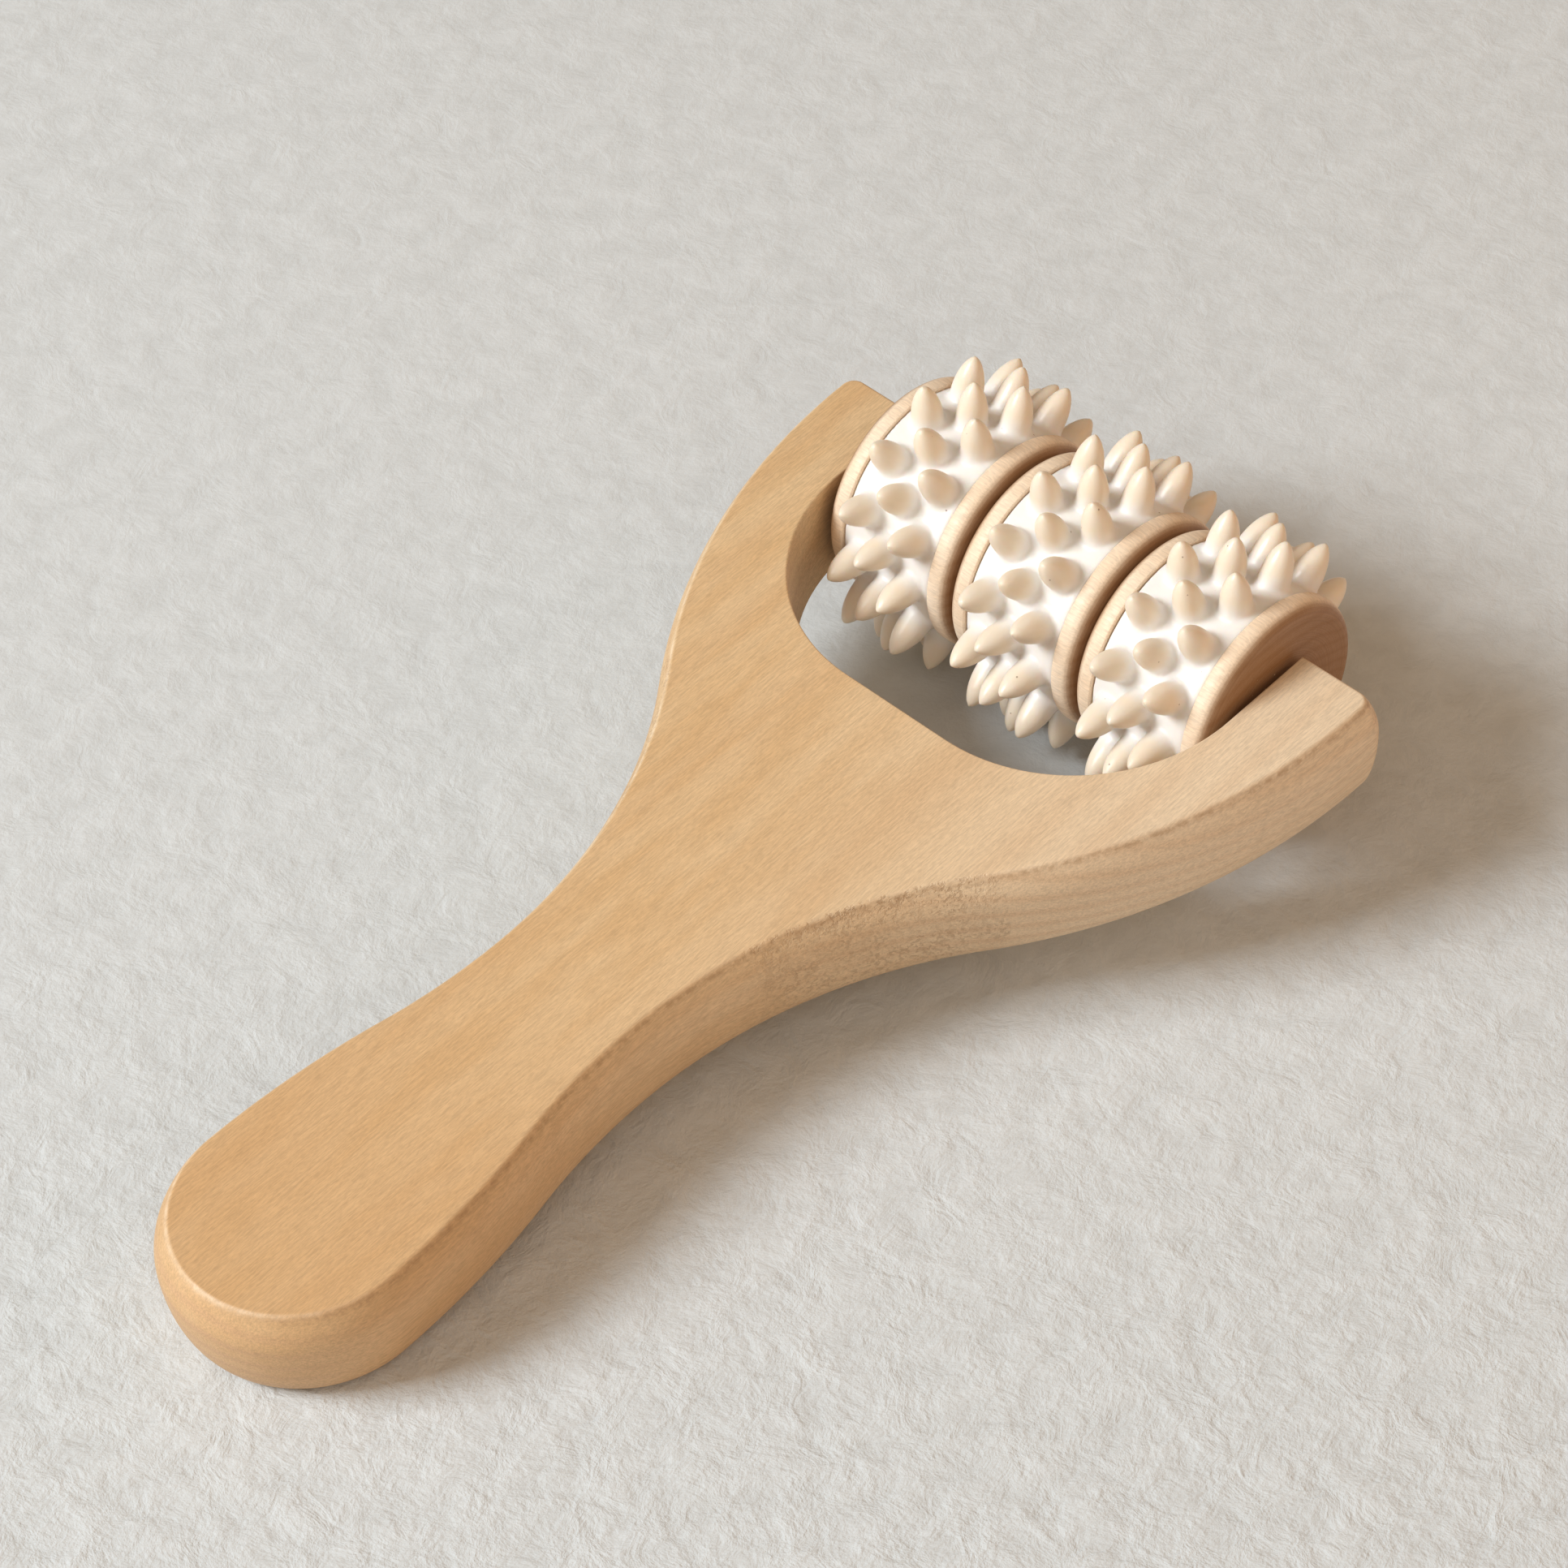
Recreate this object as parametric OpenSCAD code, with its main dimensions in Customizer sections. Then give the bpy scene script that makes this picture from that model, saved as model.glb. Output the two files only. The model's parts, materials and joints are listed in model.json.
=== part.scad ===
// Foot massage roller: a forked wooden handle that carries three free-turning wooden
// spools on one axle, each spool with a stretched-on elastic band of soft spikes.
// The part lies as it is put down: the butt of the handle and the lowest spikes
// touch z = 0. +X runs along the handle towards the rollers, +Y to the left arm.

/* [Handle outline] */
// Distance from the axle back to the end of the butt, at the top face
butt_reach = 201.5; // [165:0.5:245]
// Width of the rounded butt
butt_w = 40.8; // [36:0.2:46]
// Distance from the end of the butt to the narrowest place of the handle
waist_from_butt = 78; // [70:0.5:95]
// Width of the handle at its narrowest place
waist_w = 28.6; // [24:0.2:34]
// Radius of the long cheek between the butt and the waist
cheek_r = 160; // [120:1:200]
// Width of each arm of the fork
arm_w = 14.6; // [12:0.1:20]
// Radius of the outer shoulder of each arm
shoulder_r = 107; // [90:1:125]
// How far the arm tips reach past the axle
tip_reach = 4.9; // [3:0.1:9]
// Radius of the outer front corner of each arm
tip_corner_r = 2.2; // [1:0.1:6]

/* [Handle thickness and edges] */
// Thickness of the handle board
handle_t = 20; // [16:0.5:26]
// How far the side walls swell past the top edge
side_bulge = 2.5; // [0.5:0.1:3.5]
// How far the arm tips swell past the top edge
nose_bulge = 2; // [1:0.1:4]
// How far the end of the butt swells past the top edge
butt_bulge = 3.3; // [1.5:0.1:5]
// How far the underside is drawn in from the widest place
under_inset = 3.8; // [2:0.1:6]
// Depth below the top face at which the side walls are widest
bulge_depth = 6.7; // [5:0.1:8]
// Size of the eased edges of the fork opening
inner_edge = 0.6; // [0.4:0.1:0.9]

/* [Fork opening] */
// Gap between the rear of the fork opening and the spike tips
finger_gap = 18.3; // [12:0.1:25]
// Radius of the two rear corners of the opening
opening_r = 32.7; // [15:0.1:36]
// Side clearance between the outer spools and the arms
arm_gap = 1.45; // [0.6:0.05:2.5]

/* [Spools] */
// Length of one spool along the axle
spool_len = 28; // [24:0.1:34]
// Clearance between neighbouring spools
spool_gap = 0.45; // [0.35:0.05:1]
// Diameter of the spool flanges
rim_d = 40; // [34:0.2:48]
// Thickness of each spool flange
flange_t = 4; // [3:0.1:6]
// Rounding of the outer edge of each flange
rim_round = 2.7; // [1:0.1:2.8]
// Depth of the groove that holds the spiked band
groove_depth = 2.5; // [1.5:0.1:4]

/* [Axle] */
// Diameter of the axle rod
axle_d = 6; // [4:0.5:8]
// Radial running clearance between the axle and each spool bore
axle_clear = 0.08; // [0.03:0.01:0.1]
// Depth of the blind hole in the right arm
blind_depth = 10; // [6:0.5:11]
// How far the wooden plug in the left arm stands out around the axle
plug_step = 1; // [0.5:0.1:2]
// Length of the wooden plug
plug_len = 5; // [3:0.5:7]
// How far the plug sits below the widest place of the arm
plug_recess = 0.8; // [0.5:0.1:1.5]

/* [Spiked bands] */
// How far the smooth surface of the band lies below the spool rim
band_drop = 0.5; // [0.2:0.1:1]
// Side clearance between the band and each flange
band_gap = 0.1; // [0.05:0.05:0.3]
// Height of a spike above the band
spike_h = 8.5; // [5:0.1:11]
// Diameter of a spike at its root
spike_d = 6.1; // [4:0.1:7]
// Radius of the rounded tip of a spike
spike_tip_r = 0.9; // [0.4:0.1:1.2]
// Number of spikes in one row around the band
spikes_per_row = 13; // [10:1:14]
// Smooth margin between the outer rows of spikes and the sides of the band
row_margin = 1.15; // [0.5:0.05:2]
// How far each roller is turned away from standing square on its spikes, left to right
roller_turn = [1.5, 4.8, -1]; // [-6:0.1:6]

/* [Hidden] */

SIDES = ["left", "middle", "right"];
maple = "#dcb98a";
turned_wood = "#e3c096";
end_grain = "#c99a68";
elastomer = "#efe6da";
bright_steel = "#b9bcc0";

// places along the axle
spool_pitch = spool_len + spool_gap;
opening_w = 3 * spool_len + 2 * spool_gap + 2 * arm_gap;
fork_w = opening_w + 2 * arm_w;
arm_face = fork_w / 2 + side_bulge;
axle_end = -opening_w / 2 - blind_depth;
plug_d = axle_d + 2 * plug_step;
plug_out = arm_face - plug_recess;
plug_in = plug_out - plug_len;
function spool_y(i) = (1 - i) * spool_pitch;

// radii of the roller, and the layout of its spikes
rim_r = rim_d / 2;
groove_r = rim_r - groove_depth;
band_r = rim_r - band_drop;
tip_r = band_r + spike_h;
groove_len = spool_len - 2 * flange_t;
band_len = groove_len - 2 * band_gap;
row_pitch = (band_len - spike_d) / 2 - row_margin;
spike_step = 360 / spikes_per_row;

// outline of the handle's top face: round butt, cheek, waist, shoulder and tip corner, all tangent
half_waist = waist_w / 2;
butt_r = butt_w / 2;
butt_c = [butt_r - butt_reach, 0];
cheek_c = [butt_c[0], butt_r - cheek_r];
waist_x = waist_from_butt - butt_reach;
corner_c = [tip_reach - tip_corner_r, fork_w / 2 - tip_corner_r];
shoulder_c = [corner_c[0], fork_w / 2 - shoulder_r];
opening_reach = tip_r + finger_gap;
opening_c = [opening_r - opening_reach, opening_w / 2 - opening_r];
// radius of the arc that is level at the waist and touches a circle of radius r at centre c
function waist_arc(c, r) =
    (pow(c[0] - waist_x, 2) + pow(half_waist - c[1], 2) - r * r) / (2 * (r + c[1] - half_waist));
rear_waist_r = waist_arc(cheek_c, cheek_r);
front_waist_r = waist_arc(shoulder_c, shoulder_r);
rear_waist_c = [waist_x, half_waist + rear_waist_r];
front_waist_c = [waist_x, half_waist + front_waist_r];
function heading(from, to) = atan2(to[1] - from[1], to[0] - from[0]);
cheek_a = heading(cheek_c, rear_waist_c);
shoulder_a = heading(shoulder_c, front_waist_c);

// the handle leans on the heel of its butt and on the lowest spikes
half_t = handle_t / 2;
heel_x = butt_reach + side_bulge - under_inset;
tilt = asin(tip_r / norm([heel_x, half_t])) - atan2(half_t, heel_x);
axle_x = ((butt_reach + butt_bulge) * cos(tilt) - tip_r) / 2;

// points of an arc in n steps, the first point left out unless all is true
function arc(c, r, a, b, n, all = false) =
    [for (i = [all ? 0 : 1:n]) let (t = a + (b - a) * i / n) c + r * [cos(t), sin(t)]];

// one half of the outline at one depth, from the end of the butt round to the rear of the opening;
// side, nose and butt are how far the wall stands out there, and ease opens the fork at its edges
function half_ring(side, nose, butt, ease) = concat(
    [for (t = [180:-7.5:90]) butt_c + (butt_r + side + (butt - side) * pow(cos(t), 2)) * [cos(t), sin(t)]],
    arc(cheek_c, cheek_r + side, 90, cheek_a, 6),
    arc(rear_waist_c, rear_waist_r - side, 180 + cheek_a, 270, 6),
    arc(front_waist_c, front_waist_r - side, 270, 180 + shoulder_a, 12),
    arc(shoulder_c, shoulder_r + side, shoulder_a, 90, 12),
    [for (t = [75:-15:0]) corner_c + [(tip_corner_r + nose) * cos(t), (tip_corner_r + side) * sin(t)]],
    [[tip_reach + nose, opening_w / 2 + ease]],
    arc(opening_c, opening_r + ease, 90, 180, 12, all = true));

function ring(side, nose, butt, ease, z) = let (half = half_ring(side, nose, butt, ease), n = len(half))
    concat([for (p = half) [p[0], p[1], z]], [for (i = [n - 1:-1:1]) [half[i][0], -half[i][1], z]]);

// the wall swells from the top edge to its widest place, then curves in to the underside
widest_z = half_t - bulge_depth;
function swell(z) = 1 - pow((z - widest_z) / bulge_depth, 2);
function draw_in(z) = 1 - sqrt(max(0, 1 - pow((widest_z - z) / (half_t + widest_z), 2)));
function ease(z) = max(0, inner_edge - half_t + abs(z));
function level(z) = z > widest_z
    ? ring(side_bulge * swell(z), nose_bulge * swell(z), butt_bulge * swell(z), ease(z), z)
    : ring(side_bulge - under_inset * draw_in(z),
           nose_bulge - (under_inset + nose_bulge) * draw_in(z),
           butt_bulge - (under_inset + butt_bulge - side_bulge) * draw_in(z), ease(z), z);

// the skin runs a little past both faces, which the yoke then cuts flat
skin_over = 0.5;
module handle_blank() {
    levels = concat(
        [half_t + skin_over, half_t, half_t - inner_edge],
        [for (f = [0.3, 0.65, 1]) half_t - f * bulge_depth],
        [for (t = [12:12:60]) widest_z - (half_t + widest_z) * sin(t)],
        [inner_edge - half_t, inner_edge / 3 - half_t, -half_t, -half_t - skin_over]);
    rings = [for (z = levels) level(min(half_t, max(z, -half_t)))];
    n = len(rings[0]);
    points = [for (k = [0:len(levels) - 1]) for (p = rings[k]) [p[0], p[1], levels[k]]];
    sides = [for (k = [0:len(levels) - 2]) for (i = [0:n - 1])
        let (a = k * n + i, b = k * n + (i + 1) % n) each [[a, b, b + n], [a, b + n, a + n]]];
    last = (len(levels) - 1) * n;
    polyhedron(points, concat([[for (i = [n - 1:-1:0]) i]], sides, [[for (i = [0:n - 1]) last + i]]));
}

// places the handle's own frame, whose origin is the middle of the axle
module in_place() {
    translate([axle_x, 0, tip_r]) rotate([0, -tilt, 0]) children();
}

// a cylinder along the axle from y0 to y1
module along_axle(d, y0, y1) {
    translate([0, y0, 0]) rotate([-90, 0, 0]) cylinder(d = d, h = y1 - y0, $fn = 96);
}

module handle_yoke() {
    color(maple) in_place() difference() {
        intersection() {
            handle_blank();
            cube([3 * butt_reach, 2 * fork_w, handle_t], center = true);
        }
        along_axle(axle_d, axle_end, arm_face + 1);
        along_axle(plug_d, plug_in, arm_face + 1);
    }
}

module axle_rod() {
    color(bright_steel) in_place() along_axle(axle_d, axle_end, plug_in);
}

module axle_plug() {
    color(end_grain) in_place() along_axle(plug_d, plug_in, plug_out);
}

// turned profile of a spool: half of its length, from the bore out to the groove
function flange_profile() = let (h = spool_len / 2, c = [rim_r - rim_round, h - rim_round]) concat(
    [[axle_d / 2 + axle_clear, h]],
    [for (i = [0:6]) let (t = 90 - 15 * i) c + rim_round * [cos(t), sin(t)]],
    [[rim_r, groove_len / 2], [groove_r, groove_len / 2]]);

module spool(i) {
    half = flange_profile();
    n = len(half);
    outline = concat(half, [for (k = [n - 1:-1:0]) [half[k][0], -half[k][1]]]);
    color(turned_wood) in_place() translate([0, spool_y(i), 0]) rotate([90, 0, 0])
        rotate_extrude($fn = 128) polygon(outline);
}

// one spike, standing on the band's smooth surface at z = 0
module spike() {
    root = spike_d / 2;
    shank = [for (f = [0.22, 0.45, 0.67, 0.84])
        [spike_tip_r + (root - spike_tip_r) * (1 - pow(f, 2.2)), (spike_h - spike_tip_r) * f]];
    tip = [for (t = [10, 40, 70]) [spike_tip_r * cos(t), spike_h - spike_tip_r + spike_tip_r * sin(t)]];
    rotate_extrude($fn = 24)
        polygon(concat([[0, -1], [root, -1], [root, 0.2]], shank, tip, [[0, spike_h]]));
}

// angle of the floor below the axle, and of a spike that stands half a step behind it
floor_a = 270 - tilt;
function first_spike(i) = floor_a - spike_step / 4 + roller_turn[i];

module spike_band(i) {
    color(elastomer) in_place() translate([0, spool_y(i), 0]) {
        difference() {
            along_axle(2 * band_r, -band_len / 2, band_len / 2);
            along_axle(2 * groove_r, -band_len, band_len);
        }
        for (row = [-1:1]) for (k = [0:spikes_per_row - 1]) {
            a = first_spike(i) + (k + (row == 0 ? 0.5 : 0)) * spike_step;
            translate([0, row * row_pitch, 0]) rotate([0, 90 - a, 0]) translate([0, 0, band_r]) spike();
        }
    }
}

handle_yoke();
axle_rod();
axle_plug();
spool(0);  // left_spool
spool(1);  // middle_spool
spool(2);  // right_spool
spike_band(0);  // left_spike_band
spike_band(1);  // middle_spike_band
spike_band(2);  // right_spike_band
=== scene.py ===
"""Foot massage roller: its finished meshes, woods, elastomer and studio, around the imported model."""
import json
import logging
import math
from dataclasses import dataclass, field
from enum import Enum
from typing import Callable, Sequence

import bmesh
import bpy
import numpy as np
from mathutils import Matrix, Vector


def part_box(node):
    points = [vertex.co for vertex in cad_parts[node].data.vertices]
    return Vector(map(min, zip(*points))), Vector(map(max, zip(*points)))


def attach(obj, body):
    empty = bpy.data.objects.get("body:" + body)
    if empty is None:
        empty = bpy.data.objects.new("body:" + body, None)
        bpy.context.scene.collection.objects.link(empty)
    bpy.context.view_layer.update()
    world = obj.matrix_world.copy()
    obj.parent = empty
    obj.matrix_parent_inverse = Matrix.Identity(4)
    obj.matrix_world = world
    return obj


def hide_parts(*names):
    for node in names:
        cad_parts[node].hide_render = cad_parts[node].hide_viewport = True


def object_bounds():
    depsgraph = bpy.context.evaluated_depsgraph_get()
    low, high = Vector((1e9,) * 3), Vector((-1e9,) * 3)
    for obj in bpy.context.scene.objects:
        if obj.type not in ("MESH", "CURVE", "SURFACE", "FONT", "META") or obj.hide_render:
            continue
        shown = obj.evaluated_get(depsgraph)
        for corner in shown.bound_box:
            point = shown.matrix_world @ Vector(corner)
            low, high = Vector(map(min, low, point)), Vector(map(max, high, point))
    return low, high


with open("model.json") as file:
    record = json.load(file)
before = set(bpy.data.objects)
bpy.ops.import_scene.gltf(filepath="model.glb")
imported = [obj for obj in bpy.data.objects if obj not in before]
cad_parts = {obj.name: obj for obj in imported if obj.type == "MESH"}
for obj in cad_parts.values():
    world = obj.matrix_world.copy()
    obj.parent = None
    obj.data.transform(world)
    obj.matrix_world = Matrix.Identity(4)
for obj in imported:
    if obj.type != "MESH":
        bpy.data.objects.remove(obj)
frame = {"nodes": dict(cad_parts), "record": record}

MM = 0.001
cad_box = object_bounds()
log = logging.getLogger("roller")

Colour = tuple[float, float, float, float]
Object = bpy.types.Object
Material = bpy.types.Material
Tree = bpy.types.NodeTree
Node = bpy.types.Node
Socket = bpy.types.NodeSocket
Outputs = bpy.types.NodeOutputs
Sockets = dict[str, Socket]


class Side(Enum):
    """The three rollers, from the left arm to the right arm."""

    LEFT = "left"
    MIDDLE = "middle"
    RIGHT = "right"

    @property
    def body(self) -> str:
        """Name of the moving body that this roller rides on."""
        return f"{self.value}_roller"


class Attr(Enum):
    """Point attributes that the handle's mesh carries for its wood."""

    # Worn top edge, lighter where it faces the light: partly wear, partly painted highlight.
    EDGE = "worn_edge"
    # Dark line below the top edge on the right flank, away from the light: painted shade.
    BURN = "burnt_line"
    END_GRAIN = "end_grain"
    WALL = "side_wall"


# ---------------------------------------------------------------- places


@dataclass(frozen=True)
class RoundForm:
    """A round piece that lies along Y.

    Its middle is in the row frame, in metres. Its radius and half of its length are in millimetres.
    """

    middle: Vector
    radius: float
    half: float

    @classmethod
    def of_node(cls, name: str) -> "RoundForm":
        """Reads a round CAD node from the frame.

        Args:
            name: Name of the node.

        Returns:
            Its form.
        """
        low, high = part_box(name)
        middle = Vector([(a + b) / 2 for a, b in zip(low, high)])
        return cls(middle, (high.z - low.z) / 2 / MM, (high.y - low.y) / 2 / MM)


@dataclass(frozen=True)
class Seat:
    """Where the axle lies, and how far the handle leans on its butt."""

    axle: Vector
    tilt: float

    @classmethod
    def from_frame(cls) -> "Seat":
        """Reads the seat from the rod's box and the grip's flat face.

        Returns:
            The seat.
        """
        rod = RoundForm.of_node("axle_rod").middle
        grip = next(m for m in frame["record"]["mounts"] if m["name"] == "grip_top_face")
        return cls(Vector((rod.x, 0, rod.z)), math.atan2(-grip["axis"][0], grip["axis"][2]))

    def matrix(self) -> Matrix:
        """Handle frame in millimetres to the row frame in metres."""
        turn = Matrix.Rotation(-self.tilt, 4, "Y")
        return Matrix.Translation(self.axle) @ turn @ Matrix.Scale(MM, 4)


# ---------------------------------------------------------------- mesh helpers


def link(name: str, mesh: bpy.types.Mesh) -> Object:
    """Puts a mesh into the scene as an object at the origin.

    Args:
        name: Name of the piece.
        mesh: Its mesh, already in the row frame.

    Returns:
        The new object.
    """
    obj = bpy.data.objects.new(name, mesh)
    bpy.context.scene.collection.objects.link(obj)
    return obj


def solid(name: str, points: np.ndarray, faces: Sequence[Sequence[int]], place: Matrix) -> Object:
    """Makes an object from a smooth closed mesh with its faces outward.

    Args:
        name: Name of the object and its mesh.
        points: Corner points, one a row.
        faces: Corner numbers of each face.
        place: Matrix that puts the points into the row frame.

    Returns:
        The object.
    """
    mesh = bpy.data.meshes.new(name)
    mesh.from_pydata([tuple(p) for p in points], [], [list(f) for f in faces])
    mesh.transform(place)
    work = bmesh.new()
    work.from_mesh(mesh)
    bmesh.ops.recalc_face_normals(work, faces=work.faces)
    work.to_mesh(mesh)
    work.free()
    mesh.polygons.foreach_set("use_smooth", [True] * len(mesh.polygons))
    return link(name, mesh)


def lathe(profile: np.ndarray, steps: int) -> tuple[np.ndarray, list[tuple[int, ...]]]:
    """Turns a profile about the Y axis.

    Args:
        profile: Closed loop of (radius, y) points, or an open line that starts and ends on the axis.
        steps: Number of steps round the turn.

    Returns:
        The points and the faces. Points on the axis are one pole each.
    """
    on_axis = 1e-9
    points: list[tuple[float, float, float]] = []
    rows: list[list[int]] = []
    for radius, y in profile:
        if radius < on_axis:
            rows.append([len(points)] * steps)
            points.append((0.0, y, 0.0))
            continue
        rows.append(list(range(len(points), len(points) + steps)))
        for k in range(steps):
            a = 2 * math.pi * k / steps
            points.append((radius * math.cos(a), y, radius * math.sin(a)))
    pairs = list(zip(rows, rows[1:]))
    if profile[0][0] > on_axis:
        pairs.append((rows[-1], rows[0]))
    faces = []
    for low, high in pairs:
        for k in range(steps):
            n = (k + 1) % steps
            faces.append(tuple(dict.fromkeys([low[k], low[n], high[n], high[k]])))
    return np.array(points), [f for f in faces if len(f) > 2]


def mirrored(upper: Sequence[Sequence[float]]) -> np.ndarray:
    """A closed profile from its upper half, whose first and last points lie on the middle.

    Args:
        upper: The half, one point a row.

    Returns:
        The whole profile.
    """
    half = np.array(upper)
    return np.vstack([half, half[-2:0:-1] * [1, -1]])


def arc(centre: Sequence[float], radius: float, start: float, end: float, steps: int) -> np.ndarray:
    """Points of an arc, its first point left out.

    Args:
        centre: Centre of the arc.
        radius: Radius of the arc.
        start: Angle in degrees at which the arc starts.
        end: Angle in degrees at which it ends.
        steps: Number of points.

    Returns:
        One point a row.
    """
    a = np.radians(np.linspace(start, end, steps + 1)[1:])
    return np.array(centre) + radius * np.stack([np.cos(a), np.sin(a)], 1)


def straight(start: Sequence[float], end: Sequence[float], steps: int) -> np.ndarray:
    """Points of a straight stretch, its first point left out.

    Args:
        start: Where it starts.
        end: Where it ends.
        steps: Number of points.

    Returns:
        One point a row.
    """
    return np.column_stack([np.linspace(a, b, steps + 1)[1:] for a, b in zip(start, end)])


def baked(obj: Object) -> Object:
    """Turns the result of an object's modifiers into its plain mesh.

    Args:
        obj: The object.

    Returns:
        The same object, without modifiers.
    """
    bpy.context.view_layer.update()
    result = bpy.data.meshes.new_from_object(obj.evaluated_get(bpy.context.evaluated_depsgraph_get()))
    obj.modifiers.clear()
    obj.data = result
    return obj


def cut_away(obj: Object, cutter: Object) -> None:
    """Takes the cutter's space out of an object, and removes the cutter.

    Args:
        obj: The object that is cut.
        cutter: The solid that is taken out of it.
    """
    cut = obj.modifiers.new("cut", "BOOLEAN")
    cut.operation, cut.solver, cut.object = "DIFFERENCE", "EXACT", cutter
    baked(obj)
    bpy.data.objects.remove(cutter)


def finish_with(obj: Object, material: Material) -> None:
    """Gives an object one material in place of those it has.

    Args:
        obj: The object.
        material: Its finish.
    """
    obj.data.materials.clear()
    obj.data.materials.append(material)


# ---------------------------------------------------------------- node helpers


class Nodes:
    """A short way to write shader and geometry node trees."""

    def __init__(self, tree: Tree) -> None:
        """Wraps a tree."""
        self.tree = tree

    def feed(self, node: Node, inputs: dict[str | int, object]) -> Node:
        """Sets or links a node's inputs.

        Args:
            node: The node.
            inputs: Value or output socket for each input, by name or number.

        Returns:
            The node.
        """
        for key, value in inputs.items():
            if isinstance(value, Socket):
                self.tree.links.new(value, node.inputs[key])
            else:
                node.inputs[key].default_value = value
        return node

    def add(self, kind: str, inputs: dict[str | int, object] | None = None, **settings: object) -> Node:
        """Adds a node.

        Args:
            kind: Its Blender type.
            inputs: Value or output socket for each input, by name or number.
            settings: Properties of the node.

        Returns:
            The node.
        """
        node = self.tree.nodes.new(kind)
        for key, value in settings.items():
            setattr(node, key, value)
        return self.feed(node, inputs or {})

    def math(self, operation: str, *values: object) -> Socket:
        """A Math node's result."""
        return self.add("ShaderNodeMath", dict(enumerate(values)), operation=operation).outputs[0]

    def times(self, first: object, second: object) -> Socket:
        """The product of two values."""
        return self.math("MULTIPLY", first, second)

    def vector(self, operation: str, *values: object) -> Socket:
        """A Vector Math node's result, its Value for a length."""
        node = self.add("ShaderNodeVectorMath", dict(enumerate(values)), operation=operation)
        return node.outputs["Value" if operation == "LENGTH" else "Vector"]

    def stretch(self, vector: Socket, x: float, y: float, z: float) -> Socket:
        """A vector with each axis scaled by its own factor."""
        return self.vector("MULTIPLY", vector, (x, y, z))

    def split(self, vector: Socket) -> Outputs:
        """The X, Y and Z of a vector."""
        return self.add("ShaderNodeSeparateXYZ", {0: vector}).outputs

    def joined(self, x: object = 0.0, y: object = 0.0, z: object = 0.0) -> Socket:
        """A vector from its X, Y and Z."""
        return self.add("ShaderNodeCombineXYZ", {0: x, 1: y, 2: z}).outputs[0]

    def from_axle(self, vector: Socket) -> Socket:
        """Distance from the Y axis."""
        return self.vector("LENGTH", self.stretch(vector, 1, 0, 1))

    def noise(self, vector: Socket, scale: object, detail: float = 2, rough: float = 0.5,
              warp: float = 0.0) -> Socket:
        """A Noise node's factor."""
        sizes = {"Vector": vector, "Scale": scale, "Detail": detail, "Roughness": rough, "Distortion": warp}
        return self.add("ShaderNodeTexNoise", sizes).outputs["Fac"]

    def remap(self, value: Socket, low: float, high: float, to_low: float = 0.0,
              to_high: float = 1.0) -> Socket:
        """A value moved smoothly from one span to another."""
        sizes = {"Value": value, "From Min": low, "From Max": high, "To Min": to_low, "To Max": to_high}
        return self.add("ShaderNodeMapRange", sizes, interpolation_type="SMOOTHSTEP").outputs[0]

    def mix(self, share: object, first: object, second: object, blend: str = "MIX") -> Socket:
        """A colour mix of two colours."""
        inputs = {0: share, 6: first, 7: second}
        return self.add("ShaderNodeMix", inputs, data_type="RGBA", blend_type=blend).outputs[2]

    def bump(self, height: Socket, strength: object, distance: float) -> Socket:
        """The normal of a surface with relief, its depth in metres."""
        sizes = {"Height": height, "Strength": strength, "Distance": distance}
        return self.add("ShaderNodeBump", sizes).outputs[0]

    def group(self, tree: Tree, **inputs: object) -> Outputs:
        """The outputs of a node group. Underscores in the input names stand for spaces."""
        named = {key.replace("_", " "): value for key, value in inputs.items()}
        return self.add("ShaderNodeGroup", named, node_tree=tree).outputs


def shader_group(name: str, inputs: dict[str, object], outputs: Sequence[str],
                 fill: Callable[[Nodes, Outputs], Sockets]) -> Tree:
    """Builds a shader node group.

    Args:
        name: Name of the group.
        inputs: Default value of each input. A triple makes a vector input, a number a value input.
        outputs: Names of its value outputs.
        fill: Builds the inside from the group's inputs, and returns a socket for each output.

    Returns:
        The group.
    """
    tree = bpy.data.node_groups.new(name, "ShaderNodeTree")
    for key, value in inputs.items():
        kind = "NodeSocketVector" if isinstance(value, tuple) else "NodeSocketFloat"
        tree.interface.new_socket(key, in_out="INPUT", socket_type=kind).default_value = value
    for key in outputs:
        tree.interface.new_socket(key, in_out="OUTPUT", socket_type="NodeSocketFloat")
    nodes = Nodes(tree)
    given = nodes.add("NodeGroupInput").outputs
    nodes.add("NodeGroupOutput", fill(nodes, given))
    return tree


# ---------------------------------------------------------------- shared effects


def fill_growth(n: Nodes, given: Outputs) -> Sockets:
    """Growth layers that lie flat in the board and swell a little along it.

    Args:
        n: Nodes of the group.
        given: The group's inputs.

    Returns:
        A socket for each of the group's outputs.
    """
    slow = n.stretch(given["Vector"], 0.011, 0.05, 0.05)
    swell = n.times(n.math("SUBTRACT", n.noise(slow, 1.0), 0.5), given["Warp"])
    axes = n.split(given["Vector"])
    bow = n.times(n.math("POWER", axes["Y"], 2.0), given["Bow"])
    height = n.math("ADD", n.math("ADD", axes["Z"], swell), bow)
    phase = n.times(n.math("DIVIDE", height, given["Layer"]), 2 * math.pi)
    wave = n.math("MULTIPLY_ADD", n.math("SINE", phase), 0.5, 0.5)
    return {"Layers": n.math("POWER", wave, 2.2), "Streaks": n.noise(slow, 2.3, 3, 0.6)}


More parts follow.
